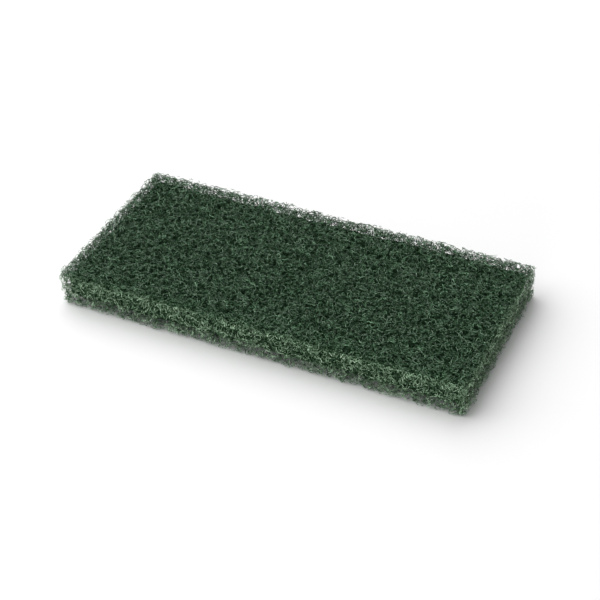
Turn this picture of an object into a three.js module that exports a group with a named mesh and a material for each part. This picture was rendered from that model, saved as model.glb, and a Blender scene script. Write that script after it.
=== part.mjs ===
// A hand-size abrasive cleaning pad: one slab of open nonwoven web, bonded with resin and cut to
// shape by a die. It is a single piece, the same on both faces.
// Units are millimetres and +Z is up. The origin is the middle of the face that the pad lies on,
// +X runs along its length and +Y across its width.

import * as THREE from "three";
import { mergeVertices } from "three/addons/utils/BufferGeometryUtils.js";
import { SimplexNoise } from "three/addons/math/SimplexNoise.js";

// The slab as the die cuts it
const padLength = 250;
const padWidth = 115;
const padThickness = 22;
const cornerRadius = 3;
const arrisRoll = 1.1;

// The open web: the strands on the faces lie level, and the hollows between them go as deep as the
// eye sees into the web, less so in the cut sides and least on the arrises
const pitSpacing = 9;
const pitDepth = 3.6;
const cutDepth = 2.4;
const arrisPitDepth = 1.4;
const strandShare = 0.18;
const webSeed = 7;

// The facets along each side, and how near to a side a point of the slab counts as lying on it
const facetsAlong = 70;
const facetsAcross = 32;
const facetsThrough = 6;
const sideSlack = 0.01;

const webColour = 0x3a5442;
const webRoughness = 0.95;
const webMetalness = 0;

THREE.MathUtils.seededRandom(webSeed);
const noise = new SimplexNoise({ random: () => THREE.MathUtils.seededRandom() });

// How far the web is open at a point: 0 on a strand, up to 1 in the middle of a hollow.
function openness(point) {
  const { x, y, z } = point.clone().divideScalar(pitSpacing);
  return THREE.MathUtils.smoothstep(Math.abs(noise.noise3d(x, y, z)), strandShare, 1);
}

// Moves a point of a square-cornered plan to the same place in the plan with round corners, and
// gives the direction that faces out of the slab's side there.
function roundedPlan(x, y) {
  const coreX = padLength / 2 - cornerRadius;
  const coreY = padWidth / 2 - cornerRadius;
  const overX = Math.max(Math.abs(x) - coreX, 0) / cornerRadius;
  const overY = Math.max(Math.abs(y) - coreY, 0) / cornerRadius;
  if (overX === 0 || overY === 0) {
    const outward = overX > overY ? new THREE.Vector2(Math.sign(x), 0) : new THREE.Vector2(0, Math.sign(y));
    return { place: new THREE.Vector2(x, y), outward };
  }
  const across = new THREE.Vector2(
    Math.sign(x) * overX * Math.sqrt(1 - overY ** 2 / 2),
    Math.sign(y) * overY * Math.sqrt(1 - overX ** 2 / 2),
  );
  const corner = new THREE.Vector2(Math.sign(x) * coreX, Math.sign(y) * coreY);
  return { place: across.clone().multiplyScalar(cornerRadius).add(corner), outward: across.normalize() };
}

// A closed box whose faces and sides are cut into facets.
function facetedBox() {
  const box = new THREE.BoxGeometry(
    padLength,
    padWidth,
    padThickness,
    facetsAlong,
    facetsAcross,
    facetsThrough,
  );
  box.deleteAttribute("normal");
  box.deleteAttribute("uv");
  return mergeVertices(box);
}

// How far a point sinks below the faces, and how far it goes in from the sides.
function sinking(point, onFace, onSide) {
  const open = openness(point);
  if (onFace && onSide) {
    const sunk = arrisRoll + arrisPitDepth * open;
    return { down: sunk, inward: sunk };
  }
  return { down: onFace ? pitDepth * open : 0, inward: onSide ? cutDepth * open : 0 };
}

// The slab: the box with its corners rounded, its arrises rolled and its web opened by hollows.
function webGeometry() {
  const geometry = facetedBox();
  const positions = geometry.getAttribute("position");
  const point = new THREE.Vector3();
  const reaches = (value, size) => Math.abs(value) > size / 2 - sideSlack;
  for (let i = 0; i < positions.count; i += 1) {
    point.fromBufferAttribute(positions, i);
    const onFace = reaches(point.z, padThickness);
    const onSide = reaches(point.x, padLength) || reaches(point.y, padWidth);
    const { down, inward } = sinking(point, onFace, onSide);
    const { place, outward } = roundedPlan(point.x, point.y);
    place.addScaledVector(outward, -inward);
    positions.setXYZ(i, place.x, place.y, point.z - Math.sign(point.z) * down);
  }
  geometry.computeVertexNormals();
  return geometry;
}

const webMaterial = new THREE.MeshStandardMaterial({
  color: webColour,
  roughness: webRoughness,
  metalness: webMetalness,
  flatShading: true,
});

const web = new THREE.Mesh(webGeometry(), webMaterial);
web.name = "abrasive_web";
web.position.z = padThickness / 2;

const pad = new THREE.Group();
pad.add(web);

export default pad;
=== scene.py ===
"""Dresses the abrasive cleaning pad: an open web of curled fibres, bonded with gritty resin, round
a dense middle. Lengths are in metres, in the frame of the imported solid: +X along the pad, +Y
across it and +Z up, with the origin in the middle of the face that the pad lies on."""

import math

import bpy
import numpy as np
from bpy.props import FloatProperty, FloatVectorProperty, IntProperty, PointerProperty
from bpy.types import Operator, Panel, PropertyGroup
from mathutils import Matrix, Vector, noise
from mathutils.bvhtree import BVHTree


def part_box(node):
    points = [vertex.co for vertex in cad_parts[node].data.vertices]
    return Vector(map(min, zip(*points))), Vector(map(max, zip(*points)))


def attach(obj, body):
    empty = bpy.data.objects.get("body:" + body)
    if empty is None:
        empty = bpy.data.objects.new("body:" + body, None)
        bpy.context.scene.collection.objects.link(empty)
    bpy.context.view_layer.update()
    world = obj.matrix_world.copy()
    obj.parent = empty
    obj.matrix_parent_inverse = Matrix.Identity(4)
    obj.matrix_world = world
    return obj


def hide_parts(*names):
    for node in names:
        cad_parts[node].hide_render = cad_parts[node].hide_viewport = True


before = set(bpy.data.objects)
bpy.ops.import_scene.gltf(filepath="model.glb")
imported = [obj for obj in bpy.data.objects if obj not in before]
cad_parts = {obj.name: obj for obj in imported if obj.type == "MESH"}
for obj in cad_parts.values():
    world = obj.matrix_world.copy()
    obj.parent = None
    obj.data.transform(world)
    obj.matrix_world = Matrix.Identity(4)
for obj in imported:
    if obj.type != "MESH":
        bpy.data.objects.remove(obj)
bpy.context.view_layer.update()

bl_info = {
    "name": "Abrasive cleaning pad",
    "version": (1, 0, 0),
    "blender": (4, 5, 0),
    "location": "View3D > Sidebar > Cleaning pad",
    "description": "Builds the fibre web of an abrasive cleaning pad round its solid",
    "category": "Object",
}

WEB_NODE = "abrasive_web"
BODY = "root"
MM = 0.001

# A fibre has this many points, and its bends and dips are new ones after so many steps
FIBRE_POINTS = 8
CURL_MEMORY = 0.8
# The fewest points that a fibre may have left once it has been cut
FEWEST_POINTS = 3
# How far inside the outline the fibres of the faces are cut: the least and the most
FACE_TRIM = (-1.7 * MM, 4.6 * MM)
# The same for the fibres of the sides: the mean, the spread, and how far out the longest reach
SIDE_TRIM = (0.3 * MM, 1.5 * MM)
SIDE_REACH = 1.8 * MM
# The greater these are, the fewer fibres are drawn into the web's hollows
FACE_PULL = 1
SIDE_PULL = 2
# A fibre is a tube with this many sides
TUBE_SIDES = 3
# Stands in for a length of zero where something is divided by it
TINY = 1e-9
# Keeps the random draws of the sides apart from those of the faces
SIDE_SEEDS = 10
WHITE = (1.0, 1.0, 1.0, 1.0)

pad_low, pad_high = (np.array(corner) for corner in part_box(WEB_NODE))
pad_middle = (pad_low + pad_high) / 2
pad_half = (pad_high - pad_low) / 2
pad_thickness = pad_high[2] - pad_low[2]


class PadSizes(PropertyGroup):
    """The sizes of the web that a user would change."""

    corner_radius: FloatProperty(
        name="Corner radius",
        description="Radius of the upright corners that the die cuts",
        default=3.0 * MM,
        unit="LENGTH",
        subtype="DISTANCE",
    )
    arris_radius: FloatProperty(
        name="Arris radius",
        description="How softly a face turns into the cut sides",
        default=1.6 * MM,
        unit="LENGTH",
        subtype="DISTANCE",
    )
    open_depth: FloatProperty(
        name="Open depth",
        description="How deep the web can be seen into before its dense middle",
        default=4 * MM,
        unit="LENGTH",
        subtype="DISTANCE",
    )
    strand_radius: FloatProperty(
        name="Strand radius",
        description="Mean radius of a fibre with its coat of resin",
        default=0.152 * MM,
        unit="LENGTH",
        subtype="DISTANCE",
    )
    strand_step: FloatProperty(
        name="Strand step",
        description="Length of one straight stretch of a fibre",
        default=1.2 * MM,
        unit="LENGTH",
        subtype="DISTANCE",
    )
    curl_radius: FloatProperty(
        name="Curl radius",
        description="Usual radius of the curls in a fibre",
        default=1.0 * MM,
        unit="LENGTH",
        subtype="DISTANCE",
    )
    swing: FloatProperty(
        name="Swing",
        description="How far a fibre rises and dips on its way through the web",
        default=0.9 * MM,
        unit="LENGTH",
        subtype="DISTANCE",
    )
    upper_fibres: IntProperty(
        name="Upper fibres",
        description="Fibres in each of the three pieces of the upper face",
        default=5900,
    )
    lower_fibres: IntProperty(
        name="Lower fibres",
        description="Fibres in the lower face",
        default=2800,
    )
    side_fibres: IntProperty(
        name="Side fibres",
        description="Fibres in each of the two pieces of the cut sides",
        default=4500,
    )
    seed: IntProperty(
        name="Seed",
        description="Start of the random lie of the fibres",
        default=11,
    )


class WebColours(PropertyGroup):
    """The colours of the web."""

    coat: FloatVectorProperty(
        name="Resin coat",
        description="Fibres of the faces, under their coat of resin and grit",
        default=(0.07, 0.178, 0.083),
        subtype="COLOR",
        size=3,
    )
    worn_coat: FloatVectorProperty(
        name="Thin coat",
        description="Fibres of the faces that the coat of resin is thinnest on",
        default=(0.295, 0.6, 0.335),
        subtype="COLOR",
        size=3,
    )
    # Partly painted light: the cut colours are paler for the thin coat of the cut fibres and also for
    # the light on the lit, see-through cut sides and rim.
    cut: FloatVectorProperty(
        name="Cut fibre",
        description="Fibres at the cut sides, under their thin coat",
        default=(0.13, 0.235, 0.12),
        subtype="COLOR",
        size=3,
    )
    bare_cut_and_rim_light: FloatVectorProperty(
        name="Bare cut fibre",
        description="Fibres at the cut sides that are bare of resin",
        default=(0.7, 0.95, 0.67),
        subtype="COLOR",
        size=3,
    )
    # Partly painted light: pale grains of abrasive, made bright enough to stand for their glints.
    grit_and_glint: FloatVectorProperty(
        name="Grit",
        description="Grains of abrasive that catch the light",
        default=(0.26, 0.38, 0.26),
        subtype="COLOR",
        size=3,
    )
    # Painted shade: this near-black stands for the shade deep inside the web, on its dense middle, its
    # deeper fibres and the pits of their grit.
    depths: FloatVectorProperty(
        name="Depths",
        description="The dense middle of the web",
        default=(0.0125, 0.044, 0.0155),
        subtype="COLOR",
        size=3,
    )


class StageLook(PropertyGroup):
    """The camera, the floor and the lamps."""

    azimuth: FloatProperty(
        name="Camera azimuth",
        description="Bearing of the camera round the pad, from its front",
        default=math.radians(26.37),
        subtype="ANGLE",
    )
    elevation: FloatProperty(
        name="Camera elevation",
        description="Height of the camera above the horizon",
        default=math.radians(38.4),
        subtype="ANGLE",
    )
    roll: FloatProperty(
        name="Camera roll",
        description="Turn of the camera about its line of sight",
        default=math.radians(1.93),
        subtype="ANGLE",
    )
    distance: FloatProperty(
        name="Camera distance",
        description="Distance from the camera to the point that it looks at",
        default=0.903,
        unit="LENGTH",
        subtype="DISTANCE",
    )
    lens: FloatProperty(
        name="Lens",
        description="Focal length in millimetres",
        default=95.0,
    )
    floor_colour: FloatVectorProperty(
        name="Floor",
        description="Colour of the floor and the backdrop",
        default=(0.8, 0.8, 0.8),
        subtype="COLOR",
        size=3,
    )
    sky_strength: FloatProperty(
        name="Soft light",
        description="Light that reaches the pad from all round",
        default=0.29,
    )
    softbox_azimuth: FloatProperty(
        name="Softbox azimuth",
        description="Bearing of the softbox round the pad, from its front",
        default=math.radians(-108),
        subtype="ANGLE",
    )
    softbox_elevation: FloatProperty(
        name="Softbox elevation",
        description="Height of the softbox above the horizon",
        default=math.radians(52),
        subtype="ANGLE",
    )
    softbox_length: FloatProperty(
        name="Softbox length",
        description="Longer side of the softbox",
        default=6.8,
        unit="LENGTH",
        subtype="DISTANCE",
    )
    softbox_width: FloatProperty(
        name="Softbox width",
        description="Shorter side of the softbox",
        default=4.0,
        unit="LENGTH",
        subtype="DISTANCE",
    )
    softbox_power: FloatProperty(
        name="Softbox power",
        description="Power of the softbox in watts",
        default=185.0,
    )
    fill_power: FloatProperty(
        name="Fill power",
        description="Power of the low lamp in front of the pad, in watts",
        default=46.0,
    )


def inset_from_outline(points):
    """How far each point lies inside the plan's outline, and below zero where it is outside."""
    radius = bpy.context.scene.pad_sizes.corner_radius
    over = np.abs(points[..., :2] - pad_middle[:2]) - (pad_half[:2] - radius)
    corner = np.linalg.norm(np.maximum(over, 0), axis=-1)
    return radius - corner - np.minimum(over.max(axis=-1), 0)


def inset_from_sides(points):
    """As inset_from_outline, with the arrises rounded off where the sides meet the faces."""
    radius = bpy.context.scene.pad_sizes.arris_radius
    up = np.abs(points[..., 2] - pad_middle[2]) - (pad_half[2] - radius)
    up = np.clip(up, 0, radius)
    return inset_from_outline(points) - (radius - np.sqrt(radius**2 - up**2))


def depth_below_faces(points):
    """How far each point lies below the nearer face."""
    return pad_half[2] - np.abs(points[..., 2] - pad_middle[2])


def drift(rng, rows, steps, reach):
    """Rows of smooth random values with a spread of 1 that lose their memory after reach steps."""
    half = max(1, round(2 * reach))
    kernel = np.exp(-0.5 * (np.arange(-half, half + 1) / reach) ** 2)
    kernel /= np.sqrt((kernel**2).sum())
    raw = rng.standard_normal((rows, steps + 2 * half))
    return np.apply_along_axis(np.convolve, 1, raw, kernel, "valid")


def crooked_plans(rng, starts, steps):
    """Crooked fibres laid out flat, one a row, that begin at the given points."""
    sizes = bpy.context.scene.pad_sizes
    turn = sizes.strand_step / sizes.curl_radius
    bends = turn * drift(rng, len(starts), steps, CURL_MEMORY)
    headings = rng.uniform(0, 2 * np.pi, (len(starts), 1)) + np.cumsum(bends, axis=1)
    moves = sizes.strand_step * np.stack([np.cos(headings), np.sin(headings)], axis=-1)
    moves[:, 0] = 0
    return starts[:, None, :] + np.cumsum(moves, axis=1)


def even_starts(rng, count, length, width):
    """Starts of fibres spread evenly over a length by a width, and a share of the depth for each."""
    rows = round(math.sqrt(count * width / length))
    columns = round(count / rows)
    cells = np.stack(np.meshgrid(np.arange(columns), np.arange(rows)), axis=-1).reshape(-1, 2)
    places = (cells + rng.uniform(0, 1, cells.shape)) / (columns, rows) * (length, width)
    golden = 0.618
    return places, (np.arange(len(cells)) * golden + rng.uniform(0, 1)) % 1


def sunk_depths(rng, level, steps):
    """How deep fibres lie in the web: mostly near its surface, with short dips and rises."""
    sizes = bpy.context.scene.pad_sizes
    crowding = 1.5
    depths = sizes.open_depth * level[:, None] ** crowding
    return depths + sizes.swing * drift(rng, len(level), steps, CURL_MEMORY)


def face_paths(rng, count, steps, upward):
    """Fibres that wander under one face of the pad, and turn back where they meet it."""
    sizes = bpy.context.scene.pad_sizes
    reach = pad_half[:2] + sizes.open_depth
    starts, level = even_starts(rng, count, *(2 * reach))
    usual_rise = 0.4 * MM
    proud = rng.exponential(usual_rise, (len(starts), 1))
    plans = crooked_plans(rng, starts - reach + pad_middle[:2], steps)
    depths = np.abs(sunk_depths(rng, level, steps))
    if upward:
        heights = pad_high[2] + proud - depths
    else:
        heights = pad_low[2] + sizes.strand_radius + depths
    return np.concatenate([plans, heights[..., None]], axis=-1)


def folded(values, low, high):
    """Values turned back at low and at high, as often as they pass them."""
    span = high - low
    return high - np.abs((values - low) % (2 * span) - span)


def round_outline(run, inset):
    """Places in the plan at a run along the outline, from the front right corner on, and at an
    inset from it."""
    radius = bpy.context.scene.pad_sizes.corner_radius
    core = pad_half[:2] - radius
    quarter = np.pi / 2
    marks, centres, angles = [0.0], [], []
    for number, (x, y) in enumerate(((1, -1), (1, 1), (-1, 1), (-1, -1), (1, -1))):
        centres += [(x * core[0], y * core[1])] * 2
        angles += [(number - 1) * quarter, number * quarter]
        straight = 2 * core[1 if number % 2 == 0 else 0]
        marks += [marks[-1] + radius * quarter, marks[-1] + radius * quarter + straight]
    marks = np.array(marks[:-2])
    centres, angles = np.array(centres[: len(marks)]), np.array(angles[: len(marks)])
    run = run % marks[-1]
    angle = np.interp(run, marks, angles)
    out = np.stack([np.cos(angle), np.sin(angle)], axis=-1)
    middle = np.stack([np.interp(run, marks, centres[:, axis]) for axis in (0, 1)], axis=-1)
    return pad_middle[:2] + middle + (radius - inset)[..., None] * out


def side_paths(rng, count, steps):
    """Fibres that wander behind the cut sides, which the die has cut where they come out."""
    sizes = bpy.context.scene.pad_sizes
    short_below, short_above = 0.5 * MM, 1.6 * MM
    around = 4 * (pad_half[0] + pad_half[1])
    starts, level = even_starts(rng, count, around, pad_thickness)
    plans = crooked_plans(rng, starts, steps)
    places = round_outline(plans[..., 0], sunk_depths(rng, level, steps))
    short = np.abs(rng.normal(0, 1, (2, len(starts), 1)))
    lowest = pad_low[2] + sizes.strand_radius + short_below * short[0]
    highest = pad_high[2] - short_above * short[1]
    heights = folded(plans[..., 1] + pad_low[2], lowest, highest)
    return np.concatenate([places, heights[..., None]], axis=-1)


def kept_points(paths, trim):
    """Which points of the paths lie in the open part of the web."""
    sizes = bpy.context.scene.pad_sizes
    margin = 1.2 * MM
    inset = inset_from_sides(paths)
    shallow = np.minimum(inset, depth_below_faces(paths)) < sizes.open_depth + margin
    return (inset > trim) & shallow


def with_cut_ends(paths, keep, inset):
    """The paths and their kept points, with a point more where a fibre is cut at an inset of 0."""
    for side in (1, -1):
        beside_kept = np.roll(keep, side, axis=1)
        beside_kept[:, 0 if side == 1 else -1] = False
        crossing = beside_kept & ~keep & (inset < 0)
        inner = np.roll(paths, side, axis=1)
        inner_inset = np.roll(inset, side, axis=1)
        share = np.where(crossing, inner_inset / np.maximum(inner_inset - inset, TINY), 0)
        cut = inner + (paths - inner) * share[..., None]
        paths = np.where(crossing[..., None], cut, paths)
        keep = keep | crossing
        inset = np.where(crossing, 0.0, inset)
    return paths, keep


def cut_to_runs(paths, trim):
    """Cuts each path at its own trim inside the sides, and where it sinks into the dense middle.
    Gives the points, and each run of points as its path and its first and last place in it."""
    keep = kept_points(paths, trim)
    keep[:, -1] = False
    paths, keep = with_cut_ends(paths, keep, inset_from_sides(paths) - trim)
    rows, steps = keep.shape
    bordered = np.zeros((rows, steps + 2), bool)
    bordered[:, 1:-1] = keep
    change = np.diff(bordered.astype(np.int8), axis=1)
    first = np.argwhere(change == 1)
    last = np.argwhere(change == -1)
    spans = np.stack([first[:, 0], first[:, 1], last[:, 1]], axis=1)
    return paths, spans[spans[:, 2] - spans[:, 1] >= FEWEST_POINTS]


def gather_runs(paths, trim, pull, rng):
    """The points of all the runs that the paths are cut to, and the number of each point's run.
    The greater the pull, the fewer of them are drawn into the hollows."""
    paths, spans = cut_to_runs(paths, trim)
    lengths = spans[:, 2] - spans[:, 1]
    owners = np.repeat(np.arange(len(spans)), lengths)
    along = np.arange(len(owners)) - np.repeat(np.cumsum(lengths) - lengths, lengths)
    points = paths[spans[owners, 0], spans[owners, 1] + along]
    deepest = 0.9
    share = deepest * rng.uniform(0, 1, len(spans))[owners] ** pull
    return settled(points, share), owners


def settled(points, share):
    """The points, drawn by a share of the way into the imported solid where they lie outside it,
    so that the web has its hollows."""
    loose = 0.8 * MM
    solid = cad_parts[WEB_NODE].data
    corners = [vert.co.copy() for vert in solid.vertices]
    surface = BVHTree.FromPolygons(corners, [tuple(face.vertices) for face in solid.polygons])
    moved = points.copy()
    for number, point in enumerate(points.tolist()):
        nearest, normal, _, _ = surface.find_nearest(point)
        out = Vector(point) - nearest
        if out.dot(normal) > 0 and out.length > loose:
            moved[number] -= share[number] * (1 - loose / out.length) * np.array(out)
    return moved


def tube_corners(points, owners, rng):
    """The corners of a tube round each point, with the tube along the point's run."""
    inside = owners[1:] == owners[:-1]
    ahead = np.where(np.append(inside, False)[:, None], np.roll(points, -1, axis=0), points)
    behind = np.where(np.insert(inside, 0, False)[:, None], np.roll(points, 1, axis=0), points)
    along = ahead - behind
    along /= np.maximum(np.linalg.norm(along, axis=1, keepdims=True), TINY)
    across = np.cross(along, (0.0, 0.0, 1.0))
    across /= np.maximum(np.linalg.norm(across, axis=1, keepdims=True), TINY)
    upward = np.cross(across, along)
    runs = owners[-1] + 1
    run_spread, point_spread = 0.18, 0.2
    thickness = rng.lognormal(0, run_spread, runs)[owners]
    thickness *= rng.lognormal(0, point_spread, len(points))
    radius = bpy.context.scene.pad_sizes.strand_radius * thickness
    spin = rng.uniform(0, 2 * np.pi, runs)[owners]
    corners = []
    for corner in range(TUBE_SIDES):
        angle = spin + corner * 2 * np.pi / TUBE_SIDES
        sideways = (radius * np.cos(angle))[:, None] * across
        corners.append(points + sideways + (radius * np.sin(angle))[:, None] * upward)
    return np.stack(corners, axis=1).reshape(-1, 3)


def tube_faces(owners):
    """The sides of the tubes, and the triangles that close their ends."""
    inside = owners[1:] == owners[:-1]
    near = np.flatnonzero(np.append(inside, False)) * TUBE_SIDES
    far = near + TUBE_SIDES
    faces = []
    for corner in range(TUBE_SIDES):
        after = (corner + 1) % TUBE_SIDES
        faces += np.stack([near + corner, near + after, far + after, far + corner], axis=1).tolist()
    heads = np.flatnonzero(~np.insert(inside, 0, False)) * TUBE_SIDES
    tails = np.flatnonzero(~np.append(inside, False)) * TUBE_SIDES
    faces += np.stack([heads + 2, heads + 1, heads], axis=1).tolist()
    faces += np.stack([tails, tails + 1, tails + 2], axis=1).tolist()
    return faces


def tube_mesh(name, points, owners, rng):
    """A mesh of closed tubes, one along each run of points."""
    mesh = bpy.data.meshes.new(name)
    mesh.from_pydata(tube_corners(points, owners, rng).tolist(), [], tube_faces(owners))
    run_share, paleness = 0.6, 3
    tint = run_share * rng.uniform(0, 1, owners[-1] + 1)[owners]
    tint += (1 - run_share) * rng.uniform(0, 1, len(points))
    add_shares(mesh, points, tint**paleness)
    mesh.update()
    return mesh


def add_shares(mesh, points, tint):
    """Stores what the web's material reads at each point: the fibre's own tint, how near the cut
    sides it is and how deep it lies."""
    sizes = bpy.context.scene.pad_sizes
    cut_reach, coated_reach, share_at_arris = 5 * MM, 4 * MM, 0.3
    below = depth_below_faces(points)
    # Partly painted light: this share pales the fibres near the outline, on the sides and the rim of
    # the faces.
    cut = np.clip(1 - inset_from_outline(points) / cut_reach, 0, 1)
    cut *= np.clip(share_at_arris + below / coated_reach, 0, 1)
    deep = np.minimum(inset_from_sides(points), below) / sizes.open_depth
    values = {"strand_tint": tint, "cut_and_rim_light_share": cut, "depth_share": np.clip(deep, 0, 1)}
    for name, value in values.items():
        attribute = mesh.attributes.new(name, "FLOAT", "POINT")
        attribute.data.foreach_set("value", np.repeat(value, TUBE_SIDES).astype(np.float32))


def new_node(tree, kind, **settings):
    """A node whose settings are given by name, and whose sockets are given by name in inputs."""
    made = tree.nodes.new(kind)
    for socket, value in settings.pop("inputs", {}).items():
        if isinstance(value, bpy.types.NodeSocket):
            tree.links.new(value, made.inputs[socket])
        else:
            made.inputs[socket].default_value = value
    for name, value in settings.items():
        setattr(made, name, value)
    return made


def mixed(tree, share, first, second):
    """The colour between two colours, by a share."""
    mix = new_node(tree, "ShaderNodeMix", data_type="RGBA")
    factor, one, two = mix.inputs["Factor"], mix.inputs[6], mix.inputs[7]
    for socket, value in ((factor, share), (one, first), (two, second)):
        if isinstance(value, bpy.types.NodeSocket):
            tree.links.new(value, socket)
        else:
            socket.default_value = value
    return mix.outputs[2]


def ranged(tree, value, low, high, to_low=0.0, to_high=1.0):
    """A value carried from one range to another, and held inside it."""
    inputs = {
        "Value": value,
        "From Min": low,
        "From Max": high,
        "To Min": to_low,
        "To Max": to_high,
    }
    return new_node(tree, "ShaderNodeMapRange", inputs=inputs).outputs["Result"]


def noise_at(tree, place, spacing, detail=2.0):
    """Procedural noise whose lumps are about spacing apart."""
    inputs = {"Vector": place, "Scale": 1 / spacing, "Detail": detail}
    return new_node(tree, "ShaderNodeTexNoise", inputs=inputs).outputs["Fac"]


def product(tree, one, two):
    """The product of two values."""
    return new_node(tree, "ShaderNodeMath", operation="MULTIPLY", inputs={0: one, 1: two}).outputs[0]


def colour4(colour):
    """A colour with its opacity."""
    return (*colour, 1.0)


def shaded(colour, factor):
    """A colour made darker or lighter by a factor."""
    return colour4(factor * c for c in colour)


def add_bump(tree, shader, height, strength, distance):
    """Raises the shader's surface where height is great, by up to distance."""
    inputs = {"Strength": strength, "Distance": distance, "Height": height}
    bump = new_node(tree, "ShaderNodeBump", inputs=inputs)
    tree.links.new(bump.outputs[0], shader.inputs["Normal"])


def new_material(name):
    """An empty material with a Principled shader: (material, tree, shader, object coordinates)."""
    material = bpy.data.materials.new(name)
    material.use_nodes = True
    tree = material.node_tree
    tree.nodes.clear()
    shader = new_node(tree, "ShaderNodeBsdfPrincipled")
    output = new_node(tree, "ShaderNodeOutputMaterial")
    tree.links.new(shader.outputs[0], output.inputs["Surface"])
    place = new_node(tree, "ShaderNodeTexCoord").outputs["Object"]
    return material, tree, shader, place


def fibre_colour(tree, share, place):
    """The coat of the fibres, each a little off, and the paler cut fibres in patches at the sides,
    partly their own paler colour and partly painted light on the see-through rim.
    """
    colours = bpy.context.scene.web_colours
    patch_spacing = 14 * MM
    thick_coat = shaded(colours.coat, 0.5)
    coat = mixed(tree, share["strand_tint"], thick_coat, colour4(colours.worn_coat))
    bare = ranged(tree, share["strand_tint"], low=0.0, high=0.5)
    cut = mixed(tree, bare, colour4(colours.cut), colour4(colours.bare_cut_and_rim_light))
    patchy_cut_and_rim_light = product(tree, share["cut_and_rim_light_share"], noise_at(tree, place, patch_spacing))
    return mixed(tree, ranged(tree, patchy_cut_and_rim_light, low=0.05, high=0.5), coat, cut)


def gritty(tree, colour, grains, cut_and_rim_light_share):
    """A colour with painted shade in the pits of its bump and grains of grit on its peaks, partly pale
    grit and partly painted glints, paler at the cut sides.
    """
    colours = bpy.context.scene.web_colours
    # Painted shade darkens the low spots of the bump; painted glints of grit light its peaks.
    pit_shade = ranged(tree, grains, low=0.52, high=0.43, to_low=0.0, to_high=0.85)
    pit_shaded = mixed(tree, pit_shade, colour, colour4(colours.depths))
    grit_glint_at_sides = shaded(colours.grit_and_glint, 2.0)
    grit_and_glint = mixed(tree, cut_and_rim_light_share, colour4(colours.grit_and_glint), grit_glint_at_sides)
    return mixed(tree, ranged(tree, grains, low=0.57, high=0.63, to_low=0.0, to_high=0.7), pit_shaded, grit_and_glint)


def strand_material():
    """Fibres in gritty resin: green, paler at the cut sides, partly as painted light on the see-through
    rim, and with painted shade that darkens them the deeper they lie in the web.
    """
    colours = bpy.context.scene.web_colours
    material, tree, shader, place = new_material("resin_coated_fibre")
    share = {
        name: new_node(tree, "ShaderNodeAttribute", attribute_name=name).outputs["Fac"]
        for name in ("strand_tint", "cut_and_rim_light_share", "depth_share")
    }
    grain_spacing, grain_height = 0.5 * MM, 0.12 * MM
    grains = noise_at(tree, place, grain_spacing, detail=1.0)
    colour = gritty(tree, fibre_colour(tree, share, place), grains, share["cut_and_rim_light_share"])
    # Painted shade: the deeper a fibre lies, the more it is darkened towards the depths colour, less so
    # at the cut sides.
    depth_shade_kept = ranged(tree, share["cut_and_rim_light_share"], low=0.0, high=1.0, to_low=1.0, to_high=0.4)
    depth_shade = ranged(tree, share["depth_share"], low=0.04, high=0.5, to_low=0.0, to_high=0.9)
    colour = mixed(tree, product(tree, depth_shade, depth_shade_kept), colour, colour4(colours.depths))
    tree.links.new(colour, shader.inputs["Base Color"])
    shader.inputs["Roughness"].default_value = 0.4
    gloss = ranged(tree, share["depth_share"], low=0.0, high=0.35, to_low=0.45, to_high=0.1)
    tree.links.new(gloss, shader.inputs["Specular IOR Level"])
    add_bump(tree, shader, grains, strength=0.7, distance=grain_height)
    return material


def core_material():
    """The dense middle, painted near-black as the shade deep inside the web, with the fibres that show
    in it as a paler mesh.
    """
    colours = bpy.context.scene.web_colours
    material, tree, shader, place = new_material("web_depths")
    warp_spacing, warp_reach, mesh_spacing, mesh_height = 4 * MM, 3 * MM, 1.7 * MM, 0.8 * MM
    inputs = {"Vector": place, "Scale": 1 / warp_spacing, "Detail": 2.0}
    warp = new_node(tree, "ShaderNodeTexNoise", inputs=inputs).outputs["Color"]
    inputs = {0: warp, 1: (warp_reach,) * 3, 2: place}
    bent = new_node(tree, "ShaderNodeVectorMath", operation="MULTIPLY_ADD", inputs=inputs).outputs[0]
    inputs = {"Vector": bent, "Scale": 1 / mesh_spacing}
    cells = new_node(tree, "ShaderNodeTexVoronoi", feature="DISTANCE_TO_EDGE", inputs=inputs)
    strands = ranged(tree, cells.outputs["Distance"], low=0.16, high=0.02)
    # Painted shade: the middle is coloured near-black for the shade deep in the web, darkest between
    # its paler strands.
    colour = mixed(tree, strands, shaded(colours.depths, 0.4), shaded(colours.coat, 0.6))
    tree.links.new(colour, shader.inputs["Base Color"])
    shader.inputs["Roughness"].default_value = 0.9
    shader.inputs["Specular IOR Level"].default_value = 0.1
    add_bump(tree, shader, strands, strength=1.0, distance=mesh_height)
    return material


def material_named(name, maker):
    """The material of that name, made the first time that it is asked for."""
    return bpy.data.materials.get(name) or maker()


def place_piece(mesh, material):
    """Puts a mesh of the web in the scene, on the pad's body and in its material slot."""
    piece = bpy.data.objects.new(mesh.name, mesh)
    bpy.context.scene.collection.objects.link(piece)
    mesh.materials.append(material)
    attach(piece, BODY)
    return piece


def block_shell(counts):
    """The outside of a block of cells: the grid places of its corners, and its faces."""
    places, faces = {}, []
    for axis in range(3):
        one, two = (axis + 1) % 3, (axis + 2) % 3
        for end in (0, counts[axis]):
            for a in range(counts[one]):
                for b in range(counts[two]):
                    ring = []
                    for da, db in ((0, 0), (1, 0), (1, 1), (0, 1)):
                        index = [0, 0, 0]
                        index[axis], index[one], index[two] = end, a + da, b + db
                        ring.append(places.setdefault(tuple(index), len(places)))
                    faces.append(ring if end else ring[::-1])
    return np.array(list(places)), faces


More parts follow.
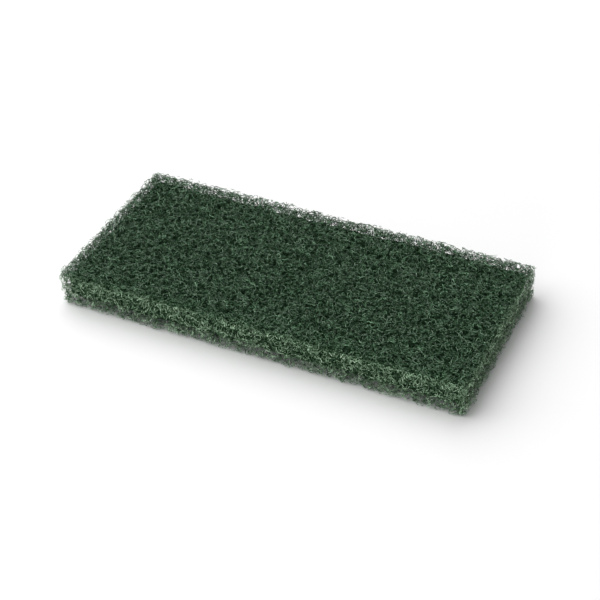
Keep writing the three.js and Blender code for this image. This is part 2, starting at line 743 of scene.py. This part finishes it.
def core_mesh():
    """A slab, set in by the open depth, with round corners and arrises and a lumpy skin."""
    half = pad_half - bpy.context.scene.pad_sizes.open_depth
    spacing, rounding, lumps, lump_spacing = 2.5 * MM, 2.5 * MM, 1.0 * MM, 3 * MM
    counts = np.maximum(np.round(2 * half / spacing).astype(int), 2)
    grid, faces = block_shell(counts)
    lines = [np.linspace(-h, h, n + 1) for h, n in zip(half, counts)]
    points = np.stack([lines[axis][grid[:, axis]] for axis in range(3)], axis=1)
    inner = np.clip(points, -(half - rounding), half - rounding)
    out = points - inner
    length = np.maximum(np.linalg.norm(out, axis=1, keepdims=True), TINY)
    normals = out / length
    points = inner + normals * np.abs(out).max(axis=1, keepdims=True) + pad_middle
    heights = np.array([noise.fractal(Vector(p / lump_spacing), 1.0, 2.0, 2) for p in points])
    points += normals * (lumps * heights)[:, None]
    mesh = bpy.data.meshes.new("web_core")
    mesh.from_pydata(points.tolist(), [], faces)
    mesh.polygons.foreach_set("use_smooth", np.ones(len(mesh.polygons), bool))
    mesh.update()
    return mesh


class PAD_OT_web_core(Operator):
    """Build the dense middle of the web"""

    bl_idname = "pad.web_core"
    bl_label = "Dense middle"

    def execute(self, context):
        core = place_piece(core_mesh(), material_named("web_depths", core_material))
        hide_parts(WEB_NODE)
        return {"FINISHED"}


class PAD_OT_face_strands(Operator):
    """Build the fibres of the upper and the lower face"""

    bl_idname = "pad.face_strands"
    bl_label = "Fibres of the faces"

    def execute(self, context):
        sizes = context.scene.pad_sizes
        material = material_named("resin_coated_fibre", strand_material)
        upper = [(f"upper_face_fibres_{number}", sizes.upper_fibres, True) for number in (1, 2, 3)]
        lower = [("lower_face_fibres", sizes.lower_fibres, False)]
        for number, (name, count, upward) in enumerate(upper + lower):
            rng = np.random.default_rng([sizes.seed, number])
            paths = face_paths(rng, count, FIBRE_POINTS, upward)
            trim = rng.uniform(*FACE_TRIM, (len(paths), 1))
            points, owners = gather_runs(paths, trim, FACE_PULL, rng)
            place_piece(tube_mesh(name, points, owners, rng), material)
        return {"FINISHED"}


class PAD_OT_side_strands(Operator):
    """Build the fibres of the cut sides"""

    bl_idname = "pad.side_strands"
    bl_label = "Fibres of the cut sides"

    def execute(self, context):
        sizes = context.scene.pad_sizes
        material = material_named("resin_coated_fibre", strand_material)
        for number in (1, 2):
            rng = np.random.default_rng([sizes.seed, SIDE_SEEDS + number])
            paths = side_paths(rng, sizes.side_fibres, FIBRE_POINTS)
            trim = np.maximum(rng.normal(*SIDE_TRIM, (len(paths), 1)), -SIDE_REACH)
            points, owners = gather_runs(paths, trim, SIDE_PULL, rng)
            place_piece(tube_mesh(f"cut_side_fibres_{number}", points, owners, rng), material)
        return {"FINISHED"}


def look_from(azimuth, elevation):
    """The direction from the pad towards a place at that bearing and height."""
    flat = math.cos(elevation)
    return Vector((math.sin(azimuth) * flat, -math.cos(azimuth) * flat, math.sin(elevation)))


def add_camera(stage):
    """The camera, at the photograph's angle."""
    target = Vector((8.0 * MM, -12.8 * MM, 11 * MM))
    back = look_from(stage.azimuth, stage.elevation)
    right = Vector((0, 0, 1)).cross(back).normalized()
    up = back.cross(right)
    turn = Matrix.Rotation(-stage.roll, 3, back)
    right, up = turn @ right, turn @ up
    data = bpy.data.cameras.new("camera")
    data.lens = stage.lens
    camera = bpy.data.objects.new("camera", data)
    bpy.context.scene.collection.objects.link(camera)
    axes = Matrix((right, up, back)).transposed().to_4x4()
    camera.matrix_world = Matrix.Translation(target + stage.distance * back) @ axes
    bpy.context.scene.camera = camera


def add_lamp(name, azimuth, elevation, length, width, power):
    """A soft lamp, length by width, that faces the pad from that bearing and height."""
    distance = 3.0
    data = bpy.data.lights.new(name, "AREA")
    data.shape = "RECTANGLE"
    data.size = length
    data.size_y = width
    data.energy = power
    lamp = bpy.data.objects.new(name, data)
    bpy.context.scene.collection.objects.link(lamp)
    away = look_from(azimuth, elevation)
    turn = away.to_track_quat("Z", "Y").to_matrix().to_4x4()
    lamp.matrix_world = Matrix.Translation(away * distance) @ turn


def floor_material(stage):
    """A plain pale floor, which the camera sees as white where no shadow falls."""
    material = bpy.data.materials.new("pale_floor")
    material.use_nodes = True
    tree = material.node_tree
    tree.nodes.clear()
    lit = new_node(tree, "ShaderNodeBsdfDiffuse", inputs={"Color": colour4(stage.floor_colour)})
    seen = new_node(tree, "ShaderNodeBsdfDiffuse", inputs={"Color": shaded(WHITE[:3], 0.93)})
    path = new_node(tree, "ShaderNodeLightPath")
    mix = new_node(tree, "ShaderNodeMixShader")
    output = new_node(tree, "ShaderNodeOutputMaterial")
    tree.links.new(path.outputs["Is Camera Ray"], mix.inputs[0])
    tree.links.new(lit.outputs[0], mix.inputs[1])
    tree.links.new(seen.outputs[0], mix.inputs[2])
    tree.links.new(mix.outputs[0], output.inputs["Surface"])
    return material


def add_floor(stage):
    """The floor, at the height of the face that the pad lies on."""
    reach = 4.0
    mesh = bpy.data.meshes.new("floor")
    corners = [(-reach, -reach, 0), (reach, -reach, 0), (reach, reach, 0), (-reach, reach, 0)]
    mesh.from_pydata(corners, [], [(0, 1, 2, 3)])
    mesh.materials.append(floor_material(stage))
    floor = bpy.data.objects.new("floor", mesh)
    floor.location.z = pad_low[2]
    bpy.context.scene.collection.objects.link(floor)


def add_sky(stage):
    """Soft light from all round, behind a white backdrop."""
    world = bpy.data.worlds.new("studio")
    bpy.context.scene.world = world
    world.use_nodes = True
    tree = world.node_tree
    tree.nodes.clear()
    soft = new_node(tree, "ShaderNodeBackground", inputs={"Strength": stage.sky_strength})
    soft.inputs["Color"].default_value = WHITE
    white = new_node(tree, "ShaderNodeBackground")
    white.inputs["Color"].default_value = WHITE
    path = new_node(tree, "ShaderNodeLightPath")
    mix = new_node(tree, "ShaderNodeMixShader")
    output = new_node(tree, "ShaderNodeOutputWorld")
    tree.links.new(path.outputs["Is Camera Ray"], mix.inputs[0])
    tree.links.new(soft.outputs[0], mix.inputs[1])
    tree.links.new(white.outputs[0], mix.inputs[2])
    tree.links.new(mix.outputs[0], output.inputs["Surface"])


class PAD_OT_stage(Operator):
    """Set up the camera, the floor and the lamps"""

    bl_idname = "pad.stage"
    bl_label = "Stage"

    def execute(self, context):
        stage = context.scene.stage_look
        add_camera(stage)
        add_floor(stage)
        add_sky(stage)
        add_lamp(
            "softbox",
            stage.softbox_azimuth,
            stage.softbox_elevation,
            stage.softbox_length,
            stage.softbox_width,
            stage.softbox_power,
        )
        add_lamp(
            "front_fill",
            azimuth=math.radians(-2),
            elevation=math.radians(7),
            length=2.4,
            width=0.6,
            power=stage.fill_power,
        )
        context.scene.view_settings.view_transform = "Standard"
        return {"FINISHED"}


class VIEW3D_PT_cleaning_pad(Panel):
    """Lists the pieces of the pad"""

    bl_label = "Cleaning pad"
    bl_space_type = "VIEW_3D"
    bl_region_type = "UI"
    bl_category = "Cleaning pad"

    def draw(self, context):
        for operator in OPERATORS:
            self.layout.operator(operator.bl_idname)


GROUPS = {"pad_sizes": PadSizes, "web_colours": WebColours, "stage_look": StageLook}
OPERATORS = (PAD_OT_web_core, PAD_OT_face_strands, PAD_OT_side_strands, PAD_OT_stage)
CLASSES = (*GROUPS.values(), *OPERATORS, VIEW3D_PT_cleaning_pad)


def register():
    for cls in CLASSES:
        bpy.utils.register_class(cls)
    for name, group in GROUPS.items():
        setattr(bpy.types.Scene, name, PointerProperty(type=group))


def unregister():
    for name in GROUPS:
        delattr(bpy.types.Scene, name)
    for cls in reversed(CLASSES):
        bpy.utils.unregister_class(cls)


def main():
    register()
    bpy.ops.pad.web_core()
    bpy.ops.pad.face_strands()
    bpy.ops.pad.side_strands()
    bpy.ops.pad.stage()


if __name__ == "__main__":
    main()
